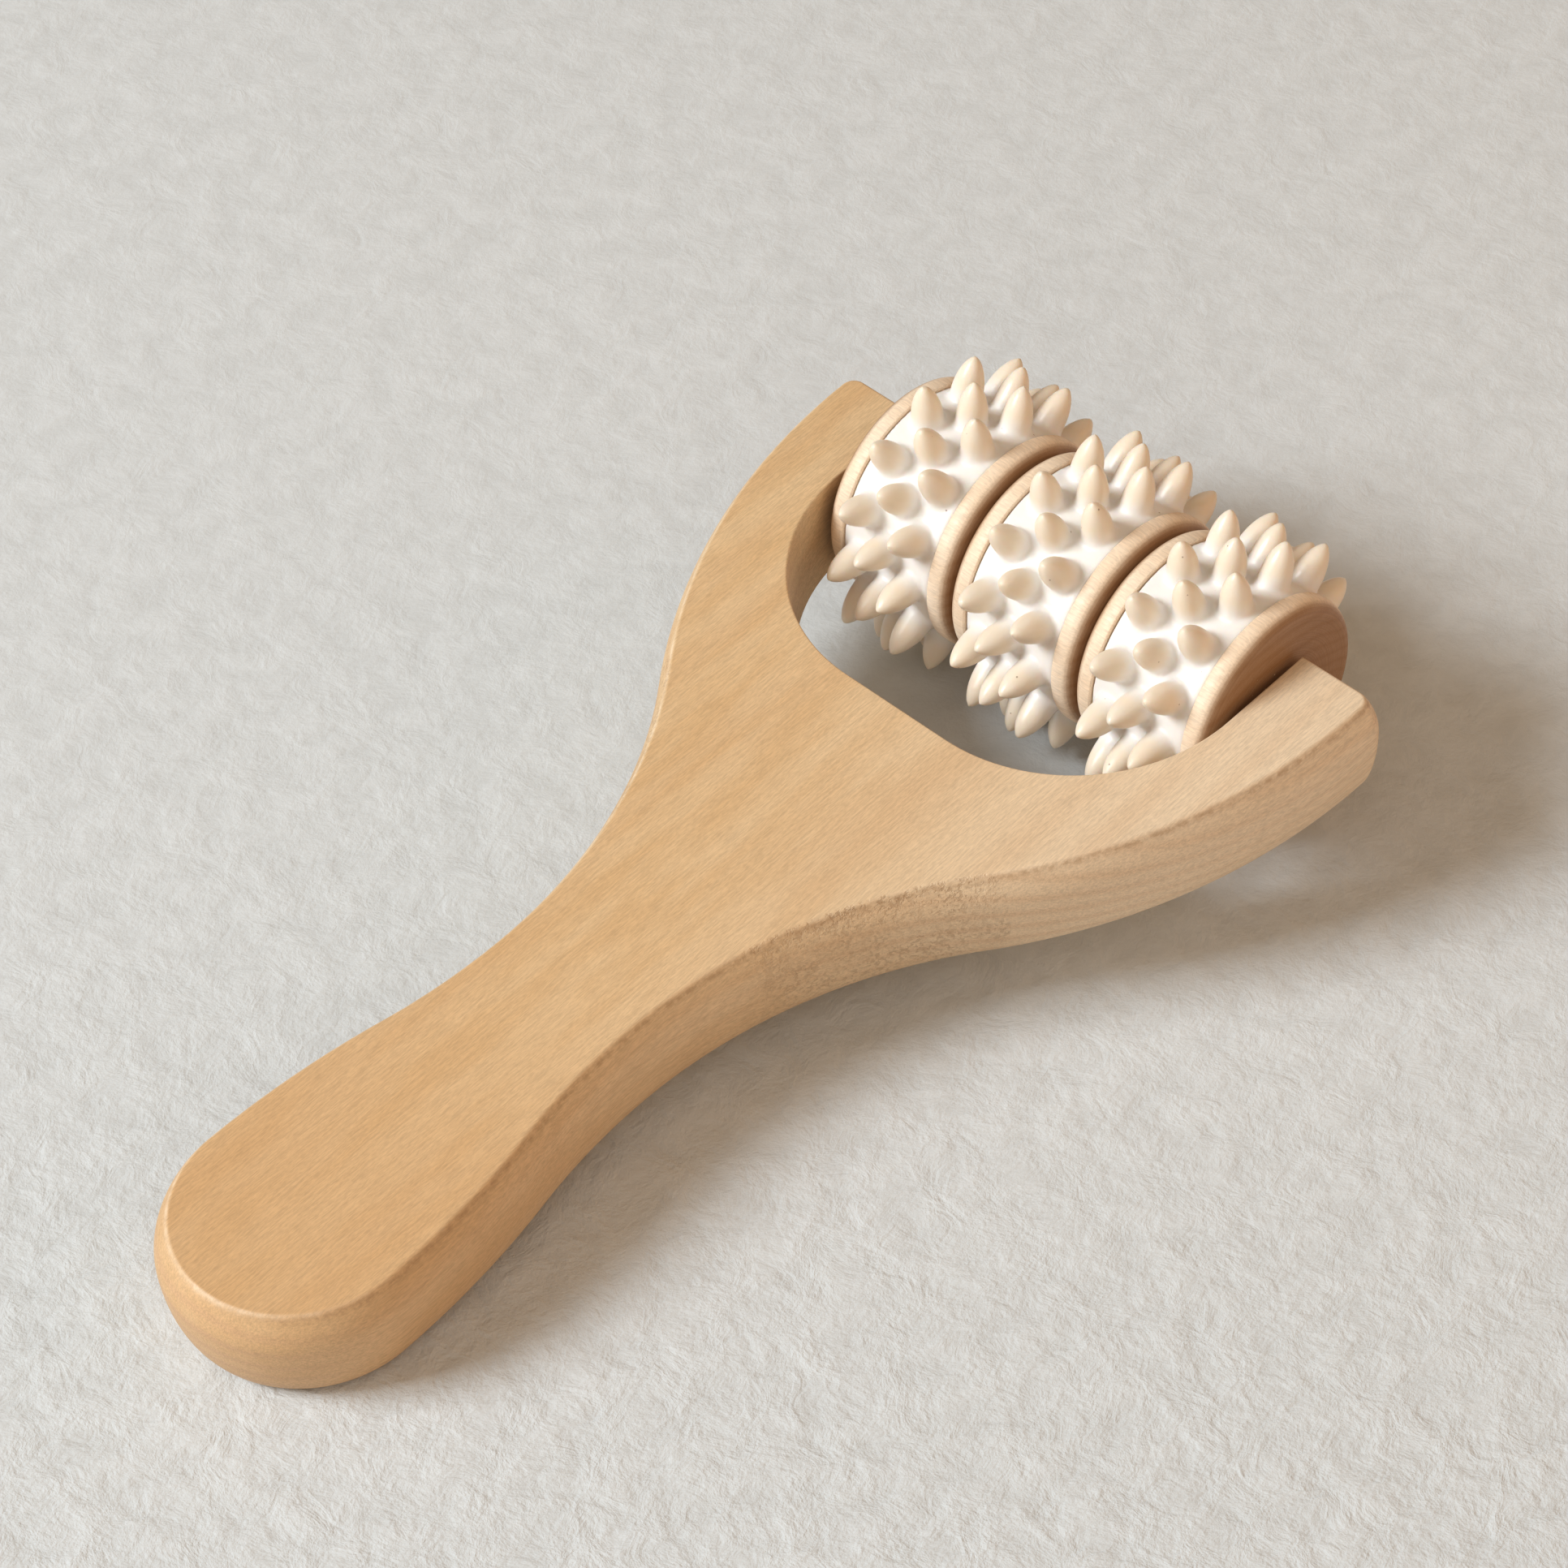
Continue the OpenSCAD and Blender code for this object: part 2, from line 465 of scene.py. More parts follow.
def fill_fibre(n: Nodes, given: Outputs) -> Sockets:
    """Short fibres along X, with darker pores among them.

    Args:
        n: Nodes of the group.
        given: The group's inputs.

    Returns:
        A socket for each of the group's outputs.
    """
    fibres = n.noise(n.stretch(given["Vector"], 0.22, 2.6, 2.6), given["Scale"], 3, 0.62)
    fuzz = n.noise(n.stretch(given["Vector"], 0.9, 5.5, 5.5), given["Scale"], 2, 0.6)
    both = n.math("MULTIPLY_ADD", fuzz, 0.45, n.times(fibres, 0.55))
    return {"Fibre": both, "Pores": n.remap(fibres, 0.66, 0.76)}


def fill_specks(n: Nodes, given: Outputs) -> Sockets:
    """Scattered tiny specks: cells whose own random number is above a limit.

    Args:
        n: Nodes of the group.
        given: The group's inputs.

    Returns:
        A socket for each of the group's outputs.
    """
    cells = n.add("ShaderNodeTexVoronoi", {"Vector": given["Vector"], "Scale": given["Density"]}).outputs
    chance = n.add("ShaderNodeSeparateColor", {0: cells["Color"]}).outputs[0]
    picked = n.math("GREATER_THAN", chance, given["Rarity"])
    return {"Mask": n.times(picked, n.remap(cells["Distance"], 0.10, 0.16, 1.0, 0.0))}


@dataclass
class Effects:
    """The node groups that more than one finish uses."""

    growth: Tree = field(init=False)
    fibre: Tree = field(init=False)
    specks: Tree = field(init=False)

    def __post_init__(self) -> None:
        """Builds each group once."""
        zero = (0.0, 0.0, 0.0)
        layers = {"Vector": zero, "Layer": 3.4, "Warp": 7.0, "Bow": 0.004}
        self.growth = shader_group("growth_layers", layers, ("Layers", "Streaks"), fill_growth)
        fibres = {"Vector": zero, "Scale": 1.0}
        self.fibre = shader_group("wood_fibre", fibres, ("Fibre", "Pores"), fill_fibre)
        scatter = {"Vector": zero, "Density": 0.5, "Rarity": 0.9}
        self.specks = shader_group("specks", scatter, ("Mask",), fill_specks)


def new_material(name: str) -> tuple[Material, Nodes, Node]:
    """A material with only its Principled shader and output.

    Args:
        name: Name of the material.

    Returns:
        The material, its nodes, and the shader node.
    """
    material = bpy.data.materials.new(name)
    material.use_nodes = True
    material.node_tree.nodes.clear()
    n = Nodes(material.node_tree)
    shader = n.add("ShaderNodeBsdfPrincipled")
    n.add("ShaderNodeOutputMaterial", {"Surface": shader.outputs[0]})
    return material, n, shader


def in_mm(n: Nodes, place: Vector, turn: tuple[float, float, float] = (0, 0, 0)) -> Socket:
    """Object coordinates in millimetres, centred and turned on a piece.

    Args:
        n: Nodes of the material.
        place: Centre of the pattern, in the row frame.
        turn: How the pattern's axes are turned.

    Returns:
        The vector.
    """
    where = n.add("ShaderNodeTexCoord").outputs["Object"]
    sizes = {"Vector": where, "Location": place, "Rotation": turn, "Scale": (MM, MM, MM)}
    return n.add("ShaderNodeMapping", sizes, vector_type="TEXTURE").outputs[0]


# ---------------------------------------------------------------- finishes


@dataclass(frozen=True)
class Wood:
    """What the sawn and the turned wood share: fibres that shade the colour, and a satin relief."""

    relief: float = 0.00022
    relief_strength: float = 0.35

    def shaded(self, n: Nodes, colour: Socket, shade: Socket, share: float) -> Socket:
        """A colour made darker and lighter by the fibres.

        Args:
            n: Nodes of the material.
            colour: The colour.
            shade: Factor for its brightness.
            share: How much of it counts.

        Returns:
            The new colour.
        """
        tone = n.add("ShaderNodeCombineColor", {0: shade, 1: shade, 2: shade}).outputs[0]
        return n.mix(share, colour, tone, "MULTIPLY")

    def surface(self, n: Nodes, shader: Node, colour: Socket, fibre: Socket, height: Socket,
                roughness: float) -> None:
        """Gives the shader its colour, gloss and relief.

        Args:
            n: Nodes of the material.
            shader: The shader node.
            colour: Colour of the wood.
            fibre: The fibres, which gloss a little.
            height: The relief.
            roughness: Roughness between the fibres' extremes.
        """
        gloss = n.remap(fibre, 0.3, 0.7, roughness + 0.08, roughness - 0.06)
        normal = n.bump(height, self.relief_strength, self.relief)
        n.feed(shader, {"Base Color": colour, "Roughness": gloss, "Normal": normal})


@dataclass(frozen=True)
class HandleWood(Wood):
    """Sawn and sanded pale board, its grain along the handle. Places are in millimetres from the axle."""

    pale: Colour = (0.735, 0.515, 0.29, 1)
    honey: Colour = (0.65, 0.405, 0.19, 1)
    late: Colour = (0.60, 0.35, 0.17, 1)
    heart: Colour = (0.62, 0.365, 0.165, 1)
    sapwood: Colour = (0.82, 0.66, 0.475, 1)
    cut_end: Colour = (0.60, 0.36, 0.20, 1)
    # Colour of the worn top edge, which also stands in for its highlight: partly wear, partly painted
    # highlight.
    worn_and_highlight: Colour = (0.93, 0.76, 0.56, 1)
    pit: Colour = (0.42, 0.27, 0.15, 1)
    # Colour of the painted shade line below the top edge on the right flank.
    shade_line_colour: Colour = (0.36, 0.20, 0.09, 1)
    torn_from: float = -106.0
    torn_to: float = -62.0
    torn_fade: float = 16.0
    torn_stop: float = 0.4
    heart_from: float = -190.0
    heart_to: float = -95.0
    sap_slant: float = 0.35
    sap_from: float = -45.0
    sap_to: float = 55.0
    roughness: float = 0.5

    def pits(self, n: Nodes, vector: Socket, along: Socket, wall: Socket) -> Socket:
        """Pits of torn grain on a stretch of the side walls.

        Args:
            n: Nodes of the material.
            vector: Coordinates in millimetres.
            along: Place along the handle.
            wall: Mask of the side walls.

        Returns:
            Mask of the pits.
        """
        rise = n.remap(along, self.torn_from, self.torn_from + self.torn_fade)
        stop = n.remap(along, self.torn_to - self.torn_stop, self.torn_to, 1.0, 0.0)
        patchy = n.remap(n.noise(vector, 0.12), 0.36, 0.60, 0.25, 1.0)
        torn = n.times(n.times(wall, patchy), n.times(rise, stop))
        return n.times(torn, n.remap(n.noise(vector, 1.15, 2, 0.7), 0.50, 0.60))

    def board(self, n: Nodes, axes: Outputs, growth: Outputs, end: Socket) -> Socket:
        """The board's own colour, from heartwood in the butt to sapwood in the right arm.

        Args:
            n: Nodes of the material.
            axes: X, Y and Z in millimetres.
            growth: Outputs of the growth layers.
            end: Mask of the end grain.

        Returns:
            The colour.
        """
        streaks = n.remap(growth["Streaks"], 0.36, 0.66)
        colour = n.mix(n.times(streaks, 0.6), self.pale, self.honey)
        colour = n.mix(n.remap(axes["X"], self.heart_from, self.heart_to, 0.55, 0.0), colour, self.heart)
        slant = n.math("MULTIPLY_ADD", axes["X"], self.sap_slant, n.times(axes["Y"], -1.0))
        colour = n.mix(n.remap(slant, self.sap_from, self.sap_to, 0.0, 0.85), colour, self.sapwood)
        colour = n.mix(n.times(growth["Layers"], 0.15), colour, self.late)
        ends = n.times(end, n.math("MULTIPLY_ADD", growth["Layers"], 0.62, 0.16))
        return n.mix(ends, colour, self.cut_end)

    def build(self, effects: Effects, seat: Seat) -> Material:
        """Makes the material.

        Args:
            effects: Shared node groups.
            seat: Where the handle lies.

        Returns:
            The material.
        """
        material, n, shader = new_material("handle_wood")
        vector = in_mm(n, seat.axle, (0, -seat.tilt, 0))
        growth = n.group(effects.growth, Vector=vector, Warp=3.0)
        fibre = n.group(effects.fibre, Vector=vector)
        masks = [n.add("ShaderNodeAttribute", attribute_name=a.value).outputs["Fac"] for a in Attr]
        edge, shade_line, end, wall = masks
        axes = n.split(vector)
        pits = self.pits(n, vector, axes["X"], wall)

        # Board, fibres, pores and torn grain.
        colour = self.board(n, axes, growth, end)
        colour = self.shaded(n, colour, n.remap(fibre["Fibre"], 0.32, 0.68, 0.76, 1.14), 0.8)
        colour = n.mix(n.times(fibre["Pores"], 0.25), colour, self.late)
        colour = n.mix(n.times(pits, 0.5), colour, self.pit)

        # Worn top edge with nicks, lighter on the side that faces the light: partly wear, partly painted
        # highlight.
        nicks = n.remap(n.noise(vector, 0.35, 4, 0.65), 0.42, 0.62)
        wear_and_highlight = n.times(edge, n.math("MULTIPLY_ADD", nicks, 0.55, 0.35))
        colour = n.mix(wear_and_highlight, colour, self.worn_and_highlight)
        # Painted shade line below the top edge on the right flank, the side that faces away from the light.
        fray = n.remap(n.noise(vector, 0.8, 3, 0.6), 0.35, 0.65, 0.12, 0.58)
        colour = n.mix(n.times(shade_line, fray), colour, self.shade_line_colour)

        # Relief of the fibres, with the pits and nicks sunk into it.
        height = n.math("ADD", n.times(fibre["Fibre"], 0.6), n.times(pits, -4.0))
        height = n.math("MULTIPLY_ADD", n.times(edge, nicks), -0.8, height)
        self.surface(n, shader, colour, fibre["Fibre"], height, self.roughness)
        return material


@dataclass(frozen=True)
class TurnedWood(Wood):
    """Lathe-turned wood whose grain runs along the axle, with end grain on its faces whose dark colour also
    covers the outer part of the rounded rims as painted shade.
    """

    pale: Colour = (0.95, 0.78, 0.60, 1)
    honey: Colour = (0.86, 0.65, 0.45, 1)
    # Dark end grain of the faces, also painted over the outer part of the rounded rims as painted shade.
    cut_end: Colour = (0.31, 0.15, 0.058, 1)
    mark: Colour = (0.20, 0.095, 0.038, 1)
    dust: Colour = (0.86, 0.70, 0.50, 1)
    # Where the dark colour starts and where it is full, in from each end: end grain on the faces, painted
    # shade on the rounded rims.
    end_grain_and_shade_from: float = 1.9
    end_grain_and_shade_to: float = 0.3
    hub_from: float = 0.35
    hub_to: float = 0.72
    roughness: float = 0.48

    def build(self, effects: Effects, name: str, form: RoundForm) -> Material:
        """Makes the material of one turned piece.

        Args:
            effects: Shared node groups.
            name: Name of the material.
            form: Place and size of the piece.

        Returns:
            The material.
        """
        material, n, shader = new_material(name)
        vector = in_mm(n, form.middle)
        axes = n.split(vector)
        along = n.joined(axes[1], axes[0], axes[2])
        fibre = n.group(effects.fibre, Vector=along, Scale=0.8)
        growth = n.group(effects.growth, Vector=along, Layer=2.6, Warp=5.0, Bow=0.012)
        radial = n.from_axle(vector)
        # Mask of the faces and the outer part of the rounded rims: end grain, with painted shade on the
        # rims.
        face = n.remap(n.math("ABSOLUTE", axes[1]), form.half - self.end_grain_and_shade_from, form.half - self.end_grain_and_shade_to)
        ripple = n.noise(n.joined(radial), 2.6, 4, 0.75)
        pores = n.noise(vector, 2.2, 2, 0.7)

        # Long grain round the rim.
        streaks = n.remap(growth["Streaks"], 0.35, 0.65)
        colour = n.mix(n.times(streaks, 0.7), self.pale, self.honey)
        colour = n.mix(n.times(growth["Layers"], 0.22), colour, self.honey)
        colour = self.shaded(n, colour, n.remap(fibre["Fibre"], 0.30, 0.70, 0.80, 1.12), 0.85)

        # End grain, turning marks and dust on the faces; the dark end grain also covers the outer part of
        # each rounded rim as painted shade.
        ends = n.times(face, n.math("MULTIPLY_ADD", growth["Layers"], 0.06, 0.88))
        colour = n.mix(ends, colour, self.cut_end)
        rings = n.times(face, n.remap(ripple, 0.40, 0.68, 0.0, 0.55))
        colour = n.mix(rings, colour, self.mark)
        flecks = n.group(effects.specks, Vector=vector, Density=0.9, Rarity=0.93)["Mask"]
        near_hub = n.remap(radial, form.radius * self.hub_from, form.radius * self.hub_to, 1.0, 0.0)
        colour = n.mix(n.times(n.times(flecks, face), near_hub), colour, self.dust)

        # Relief of the fibres, the turning marks and the pores of the faces.
        height = n.math("MULTIPLY_ADD", n.times(ripple, face), 0.9, n.times(fibre["Fibre"], 0.5))
        height = n.math("MULTIPLY_ADD", n.times(pores, face), 0.5, height)
        self.surface(n, shader, colour, fibre["Fibre"], height, self.roughness)
        return material


@dataclass(frozen=True)
class Elastomer:
    """Cream elastomer, satin and a little translucent, with a few specks of dust."""

    cream: Colour = (0.88, 0.85, 0.815, 1)
    warm: Colour = (0.88, 0.76, 0.60, 1)
    speck: Colour = (0.30, 0.20, 0.13, 1)
    depth: float = 0.0014
    roughness: float = 0.34

    def build(self, effects: Effects, name: str, place: Vector, band_r: float, spike_h: float) -> Material:
        """Makes the material of one band.

        Args:
            effects: Shared node groups.
            name: Name of the material.
            place: Middle of the band, in the row frame.
            band_r: Radius of its smooth surface in millimetres.
            spike_h: Height of its spikes in millimetres.

        Returns:
            The material.
        """
        material, n, shader = new_material(name)
        vector = in_mm(n, place)
        up = n.remap(n.from_axle(vector), band_r + 0.3, band_r + spike_h * 0.5)
        cloud = n.noise(vector, 0.16)
        colour = n.mix(n.times(up, n.remap(cloud, 0.3, 0.7, 0.75, 0.95)), self.cream, self.warm)
        dots = n.group(effects.specks, Vector=vector, Density=0.75, Rarity=0.965)["Mask"]
        colour = n.mix(n.times(dots, 0.75), colour, self.speck)
        normal = n.bump(n.noise(vector, 1.1, 3, 0.6), 0.16, 0.0002)
        gloss = n.remap(cloud, 0.3, 0.7, self.roughness - 0.05, self.roughness + 0.08)
        n.feed(shader, {"Base Color": colour, "Roughness": gloss, "Normal": normal, "Subsurface Weight": 0.3,
                        "Subsurface Radius": (1.0, 0.62, 0.36), "Subsurface Scale": self.depth})
        return material


@dataclass(frozen=True)
class DrawnSteel:
    """Steel rod with fine drawing lines along it."""

    steel: Colour = (0.60, 0.60, 0.61, 1)
    dull: Colour = (0.44, 0.43, 0.42, 1)

    def build(self, place: Vector) -> Material:
        """Makes the material.

        Args:
            place: Middle of the rod, in the row frame.

        Returns:
            The material.
        """
        material, n, shader = new_material("axle_steel")
        lines = n.noise(n.stretch(in_mm(n, place), 5.0, 0.08, 5.0), 1.0, 3, 0.6)
        colour = n.mix(n.remap(lines, 0.35, 0.7), self.steel, self.dull)
        gloss = n.remap(lines, 0.3, 0.7, 0.26, 0.42)
        normal = n.bump(lines, 0.2, 0.0001)
        n.feed(shader, {"Metallic": 1.0, "Base Color": colour, "Roughness": gloss, "Normal": normal})
        return material


@dataclass(frozen=True)
class Plaster:
    """Pale rough plaster of the floor, whose relief fades away from the butt."""

    pale: Colour = (0.69, 0.725, 0.74, 1)
    dim: Colour = (0.63, 0.66, 0.67, 1)
    roughness: float = 0.85
    relief: float = 0.0018
    fade_from: float = -260.0
    fade_to: float = 200.0

    def build(self) -> Material:
        """Makes the material.

        Returns:
            The material.
        """
        material, n, shader = new_material("floor_plaster")
        vector = in_mm(n, Vector((0, 0, 0)))
        lumps = n.noise(vector, 0.14, 6, 0.64, 0.25)
        wrinkles = n.noise(vector, 0.13, 4, 0.6, 0.9)
        axes = n.split(vector)
        near = n.remap(n.math("ADD", axes["X"], axes["Y"]), self.fade_from, self.fade_to, 0.62, 0.22)
        ridge = n.math("ABSOLUTE", n.math("SUBTRACT", wrinkles, 0.5))
        height = n.math("MULTIPLY_ADD", lumps, 1.1, n.times(ridge, -0.8))
        colour = n.mix(n.remap(lumps, 0.3, 0.7), self.dim, self.pale)
        normal = n.bump(height, near, self.relief)
        n.feed(shader, {"Base Color": colour, "Roughness": self.roughness, "Normal": normal})
        return material


# ---------------------------------------------------------------- handle


@dataclass
class HandleYoke:
    """The forked wooden handle. Sizes are in millimetres, with X from the axle to the tips of the fork."""

    seat: Seat
    butt_reach: float = 201.5
    butt_w: float = 40.8
    waist_from_butt: float = 78.0
    waist_w: float = 28.6
    cheek_r: float = 160.0
    shoulder_r: float = 107.0
    tip_reach: float = 4.9
    tip_corner_r: float = 2.2
    fork_w: float = 117.0
    opening_w: float = 87.8
    opening_reach: float = 46.3
    opening_r: float = 32.7
    thickness: float = 20.0
    side_bulge: float = 2.5
    nose_bulge: float = 2.0
    butt_bulge: float = 3.3
    under_inset: float = 3.8
    bulge_depth: float = 6.7
    ease: float = 0.38
    # Width of the worn edge with its painted highlight; also the width of the painted shade line.
    edge_mark_depth: float = 0.5
    # Depth of the painted shade line below the top edge.
    shade_line_depth: float = 0.8
    flank_from: float = 10.0
    bore_overrun: float = 5.0
    bore_steps: int = 64
    butt_points: int = 31
    edge_rings: int = 6
    bulge_rings: int = 12
    under_rings: int = 21
    crowding: float = 1.6

    def half_outline(self, side: float, nose: float, butt: float, ease: float) -> np.ndarray:
        """One half of the outline at one depth, from the end of the butt to the rear of the fork opening.

        Args:
            side: How far the side walls stand out there.
            nose: How far the arm tips stand out.
            butt: How far the end of the butt stands out.
            ease: How far the fork's edges are eased open.

        Returns:
            One point a row.
        """
        half_waist, butt_r = self.waist_w / 2, self.butt_w / 2
        butt_c = np.array([butt_r - self.butt_reach, 0])
        cheek_c = np.array([butt_c[0], butt_r - self.cheek_r])
        corner = np.array([self.tip_reach - self.tip_corner_r, self.fork_w / 2 - self.tip_corner_r])
        shoulder_c = np.array([corner[0], self.fork_w / 2 - self.shoulder_r])
        waist_x = self.waist_from_butt - self.butt_reach

        def waist_arc(c: np.ndarray, r: float) -> tuple[np.ndarray, float, float]:
            """The waist arc that touches a circle.

            Args:
                c: Centre of the circle.
                r: Its radius.

            Returns:
                Centre and radius of the arc, and the heading of the point where they touch.
            """
            gap = (c[0] - waist_x) ** 2 + (half_waist - c[1]) ** 2 - r * r
            radius = gap / (2 * (r + c[1] - half_waist))
            centre = np.array([waist_x, half_waist + radius])
            return centre, radius, math.degrees(math.atan2(*(centre - c)[::-1]))

        rear_c, rear_r, cheek_a = waist_arc(cheek_c, self.cheek_r)
        front_c, front_r, shoulder_a = waist_arc(shoulder_c, self.shoulder_r)
        butt_a = np.radians(np.linspace(180, 90, self.butt_points))[:, None]
        butt_turn = np.hstack([np.cos(butt_a), np.sin(butt_a)])
        corner_a = np.radians(np.linspace(90, 0, 11)[1:])
        corner_x = (self.tip_corner_r + nose) * np.cos(corner_a)
        corner_y = (self.tip_corner_r + side) * np.sin(corner_a)
        lip, nose_x, rear_x = self.opening_w / 2 + ease, self.tip_reach + nose, -self.opening_reach - ease
        opening_c = [self.opening_r - self.opening_reach, self.opening_w / 2 - self.opening_r]
        # Each stretch's last number is how many points it has.
        return np.vstack([
            butt_c + (butt_r + side + (butt - side) * np.cos(butt_a) ** 2) * butt_turn,
            arc(cheek_c, self.cheek_r + side, 90, cheek_a, 16),
            arc(rear_c, rear_r - side, 180 + cheek_a, 270, 16),
            arc(front_c, front_r - side, 270, 180 + shoulder_a, 28),
            arc(shoulder_c, self.shoulder_r + side, shoulder_a, 90, 36),
            corner + np.stack([corner_x, corner_y], 1),
            straight((nose_x, corner[1]), (nose_x, lip), 8),
            straight((nose_x, lip), (opening_c[0], lip), 8),
            arc(opening_c, self.opening_r + ease, 90, 180, 32),
            straight((rear_x, opening_c[1]), (rear_x, 0), 6),
        ])

    def wall(self, depth: float) -> tuple[float, float, float]:
        """How far the walls stand out at a depth below the top face.

        Args:
            depth: The depth.

        Returns:
            How far the side, the tips and the butt stand out.
        """
        if depth < self.bulge_depth:
            swell = 1 - (1 - depth / self.bulge_depth) ** 2
            return self.side_bulge * swell, self.nose_bulge * swell, self.butt_bulge * swell
        low = (depth - self.bulge_depth) / (self.thickness - self.bulge_depth)
        inward = 1 - math.sqrt(max(0.0, 1 - low * low))
        return (self.side_bulge - self.under_inset * inward,
                self.nose_bulge - (self.under_inset + self.nose_bulge) * inward,
                self.butt_bulge - (self.under_inset + self.butt_bulge - self.side_bulge) * inward)

    def levels(self) -> list[tuple[float, tuple[float, float, float], float]]:
        """The rings of the board's skin, closer together where its wall turns faster.

        Returns:
            Depth, wall and easing of the fork's edge for each ring, from the top face to the underside.
        """
        rows = []
        edge = self.wall(self.ease)
        for t in np.linspace(0, 1, self.edge_rings):
            away = -self.ease * (1 - t) ** 2
            wall = tuple(away + w * t * t for w in edge)
            rows.append((self.ease * t * t, wall, self.ease * (1 - t) ** 2))
        shares = np.linspace(0, 1, self.bulge_rings)[1:] ** self.crowding
        for depth in self.ease + (self.bulge_depth - self.ease) * shares:
            rows.append((depth, self.wall(depth), 0.0))
        below = self.thickness - self.bulge_depth
        for t in np.radians(np.linspace(0, 90, self.under_rings)[1:]):
            depth = self.bulge_depth + below * math.sin(t)
            open_by = max(0.0, self.ease - (self.thickness - depth)) ** 2 / self.ease
            rows.append((depth, self.wall(depth), open_by))
        return rows

    def blank(self) -> Object:
        """Makes the board's skin, closed at the top and the bottom.

        Returns:
            The board without its bore.
        """
        rings = []
        for depth, (side, nose, butt), open_by in self.levels():
            loop = mirrored(self.half_outline(side, nose, butt, open_by))
            rings.append(np.column_stack([loop, np.full(len(loop), self.thickness / 2 - depth)]))
        n = len(rings[0])
        faces = [tuple(range(n)), tuple(range(len(rings) * n - 1, (len(rings) - 1) * n - 1, -1))]
        for k in range(len(rings) - 1):
            for i in range(n):
                j = (i + 1) % n
                faces.append((k * n + i, (k + 1) * n + i, (k + 1) * n + j, k * n + j))
        return solid("wooden_handle", np.vstack(rings), faces, self.seat.matrix())

    def bore(self) -> Object:
        """Makes the space of the rod and its plug, run out past the left arm's wall.

        Returns:
            The space, as a solid.
        """
        rod_r, plug_r = (RoundForm.of_node(name).radius for name in ("axle_rod", "axle_plug"))
        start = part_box("axle_rod")[0].y / MM
        step, end = (corner.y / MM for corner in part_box("axle_plug"))
        end += self.bore_overrun
        profile = [(0, start), (rod_r, start), (rod_r, step), (plug_r, step), (plug_r, end), (0, end)]
        return solid("bore", *lathe(np.array(profile), self.bore_steps), self.seat.matrix())

    def mark(self, obj: Object) -> None:
        """Writes the attributes that the wood reads: worn edges with a painted highlight where they face the
        light, a painted shade line on the right flank, end grain and side walls.

        Args:
            obj: The handle.
        """
        back = self.seat.matrix().inverted()
        turn = self.seat.matrix().to_3x3().inverted().normalized()
        count = len(obj.data.vertices)
        co, normal = np.zeros(count * 3), np.zeros(count * 3)
        obj.data.vertices.foreach_get("co", co)
        obj.data.vertices.foreach_get("normal", normal)
        local = co.reshape(-1, 3) @ np.array(back.to_3x3()).T + np.array(back.translation)
        normal = normal.reshape(-1, 3) @ np.array(turn).T
        # Depth below the top face, how upright the surface is, and how far it faces the light or the right.
        depth = self.thickness / 2 - local[:, 2]
        wall = 1 - np.clip(np.abs(normal[:, 2]), 0, 1) ** 4
        lit = np.clip(0.45 + normal[:, 1] * 0.5 - normal[:, 0] * 0.6, 0.15, 1)
        right = np.clip(-normal[:, 1] * 1.4, 0, 1) * (local[:, 1] < 0)
        # Worn edge, lighter on the side that faces the light: partly wear, partly painted highlight.
        marks = {Attr.EDGE: np.exp(-(depth / self.edge_mark_depth) ** 2) * wall * lit,
                 # Line below the top edge on the walls that face the right, away from the light: painted
                 # shade.
                 Attr.BURN: np.exp(-((depth - self.shade_line_depth) / self.edge_mark_depth) ** 2) * right,
                 Attr.END_GRAIN: normal[:, 0] ** 2 * wall,
                 Attr.WALL: wall * (np.abs(local[:, 1]) > self.flank_from)}
        for attr, values in marks.items():
            layer = obj.data.attributes.new(attr.value, "FLOAT", "POINT")
            layer.data.foreach_set("value", values.astype(np.float32))

    def flatten_faces(self, obj: Object) -> None:
        """Shades the top face and the underside flat.

        Args:
            obj: The handle.
        """
        nearly_flat = 0.9995
        up = self.seat.matrix().to_3x3().normalized() @ Vector((0, 0, 1))
        for face in obj.data.polygons:
            if abs(face.normal.dot(up)) > nearly_flat:
                face.use_smooth = False

    def build(self, wood: Material) -> Object:
        """Makes the handle and puts it on its body.

        Args:
            wood: Its finish.

        Returns:
            The piece.
        """
        handle = self.blank()
        cut_away(handle, self.bore())
        self.mark(handle)
        self.flatten_faces(handle)
        finish_with(handle, wood)
        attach(handle, "handle")
        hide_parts("handle_yoke")
        return handle


# ---------------------------------------------------------------- rollers


